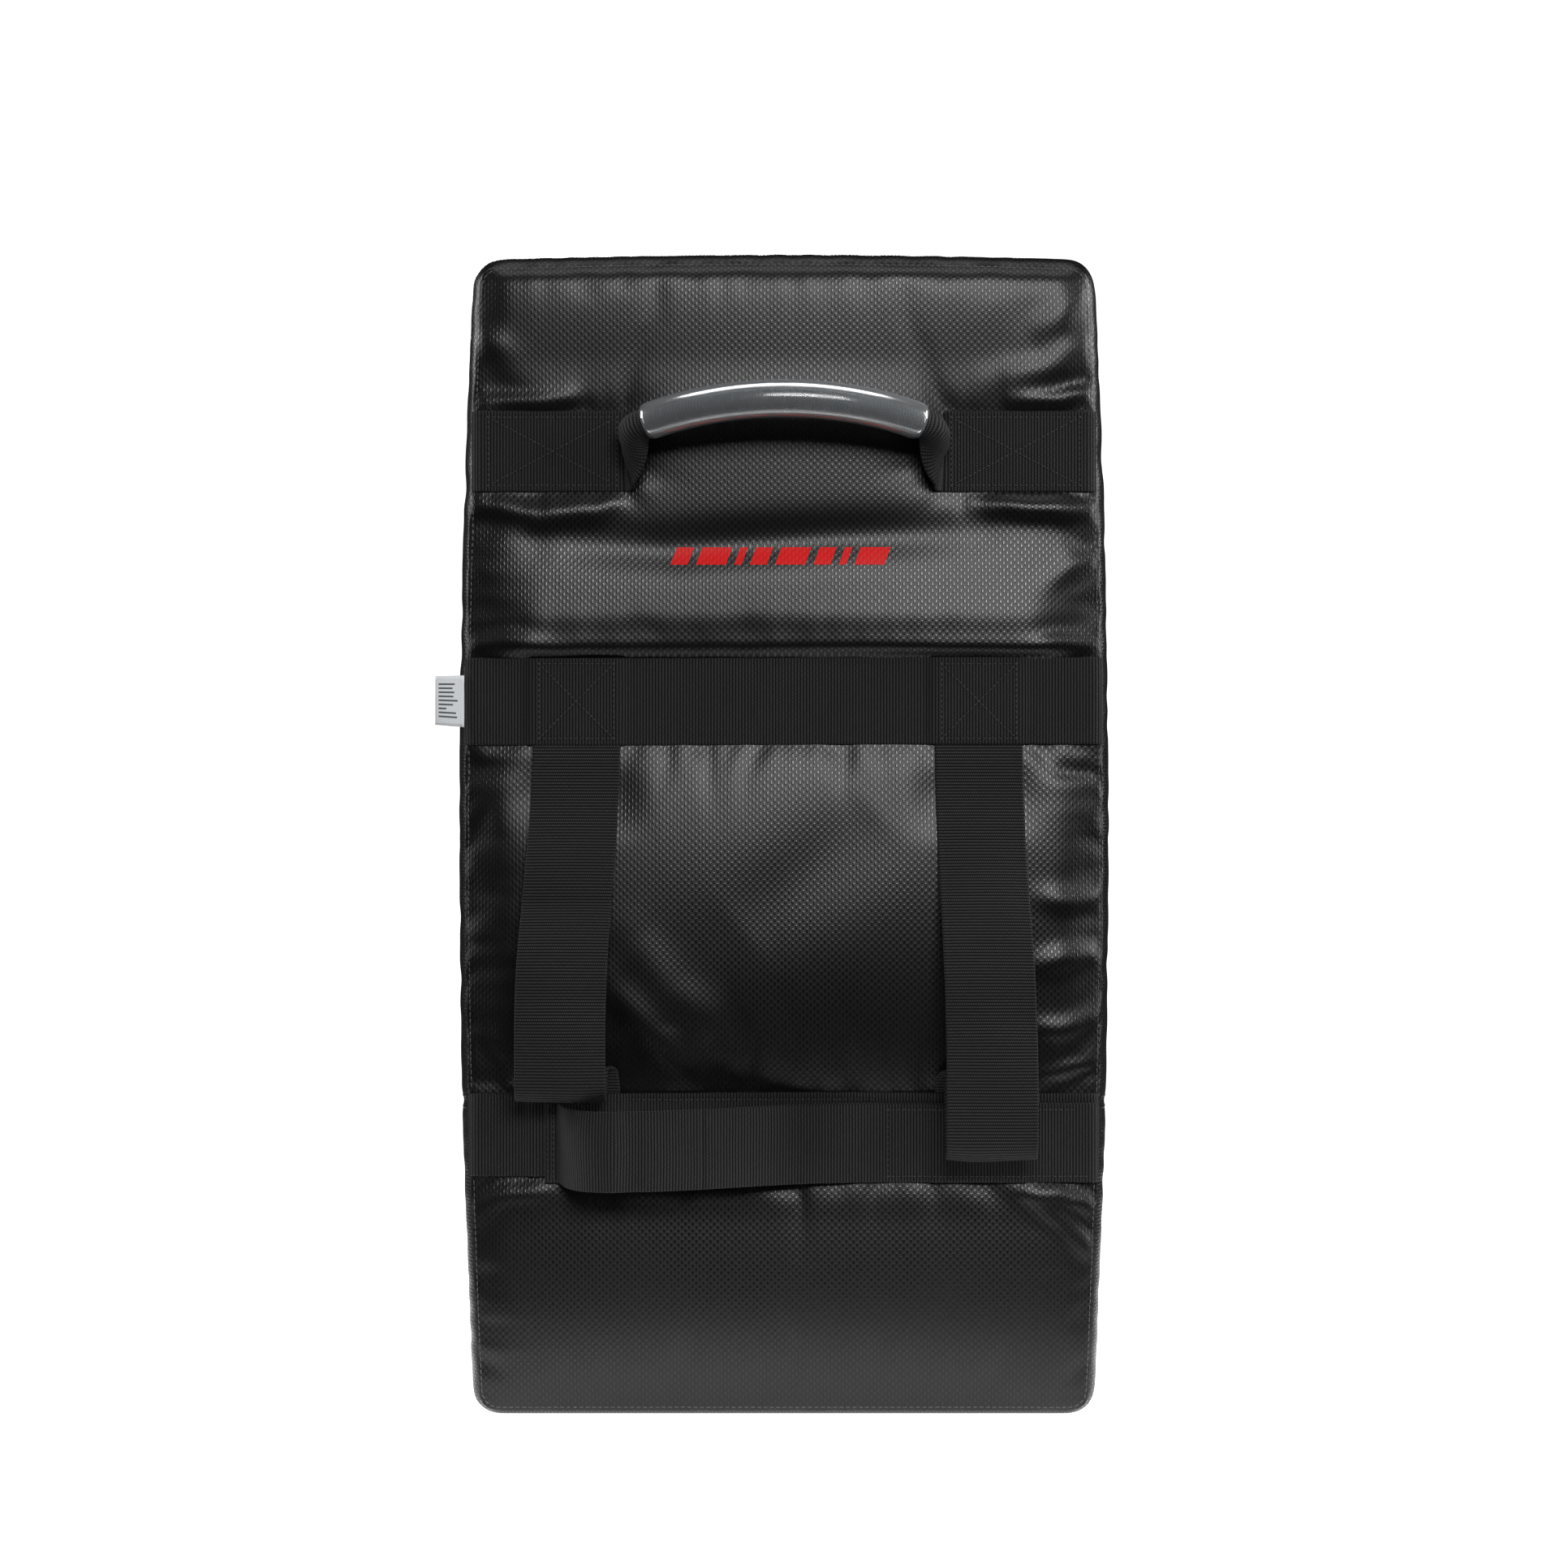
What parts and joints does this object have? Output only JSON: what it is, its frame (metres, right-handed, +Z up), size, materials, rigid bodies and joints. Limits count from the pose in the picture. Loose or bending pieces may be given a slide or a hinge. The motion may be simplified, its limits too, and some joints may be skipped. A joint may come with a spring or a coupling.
{
  "type": "kick shield",
  "caption": "Foam-filled vinyl strike shield with a carry handle, slack arm straps and a hand strap on its back.",
  "frame": {"origin": "middle of the flat bottom face, halfway between the front and back seams", "axes": "+Z up the height, +X to the right as the holder's side is seen, +Y out of the striking face"},
  "size_m": [0.4152, 0.211, 0.72],
  "materials": {
    "coated_vinyl": "satin",
    "webbing": "matte",
    "thread": "matte",
    "clear_vinyl": "gloss",
    "firm_foam": "matte",
    "core_foam": "matte",
    "soft_foam": "matte",
    "label_satin": "satin"
  },
  "bodies": {
    "shield": {"front_panel": "coated_vinyl", "back_panel": "coated_vinyl", "upper_gusset": "coated_vinyl", "lower_gusset": "coated_vinyl", "impact_foam": "firm_foam", "core_foam": "core_foam", "back_foam": "soft_foam", "front_seam_thread": "thread", "back_seam_thread": "thread", "gusset_join_thread": "thread", "left_handle_tab": "webbing", "right_handle_tab": "webbing", "handle_tab_thread": "thread", "cross_band": "webbing", "cross_band_thread": "thread", "left_arm_strap_top": "webbing", "left_arm_strap_foot": "webbing", "right_arm_strap_top": "webbing", "right_arm_strap_foot": "webbing", "base_band": "webbing", "base_band_thread": "thread", "hand_strap_left_end": "webbing", "hand_strap_right_end": "webbing", "hand_strap_thread": "thread"},
    "carry_handle": {"handle_webbing": "webbing"},
    "grip": {"grip_tube": "clear_vinyl"},
    "left_arm_loop": {"left_arm_strap": "webbing"},
    "right_arm_loop": {"right_arm_strap": "webbing"},
    "hand_loop": {"hand_strap": "webbing"},
    "label_flap": {"care_label": "label_satin"}
  },
  "joints": [
    {"name": "handle_swing", "type": "hinge", "parent": "shield", "child": "carry_handle", "pos_m": [0, -0.079, 0.596], "axis": [1, 0, 0], "range_deg": [-45, 115]},
    {"name": "grip_slide", "type": "hinge", "parent": "carry_handle", "child": "grip", "pos_m": [0, 0.02385, 0.52399], "axis": [0, 0.5736, 0.8192], "range_deg": [-1, 1]},
    {"name": "left_arm_sway", "type": "hinge", "parent": "shield", "child": "left_arm_loop", "pos_m": [-0.128, -0.068, 0.3], "axis": [0, 0, 1], "range_deg": [-18, 18]},
    {"name": "right_arm_sway", "type": "hinge", "parent": "shield", "child": "right_arm_loop", "pos_m": [0.12, -0.068, 0.3], "axis": [0, 0, 1], "range_deg": [-18, 18]},
    {"name": "hand_strap_swing", "type": "hinge", "parent": "shield", "child": "hand_loop", "pos_m": [-0.04, -0.0716, 0.17], "axis": [1, 0, 0], "range_deg": [-2, 16]},
    {"name": "label_flap", "type": "hinge", "parent": "shield", "child": "label_flap", "pos_m": [-0.20025, -0.06825, 0.442], "axis": [0, 0, 1], "range_deg": [-60, 100]}
  ]
}
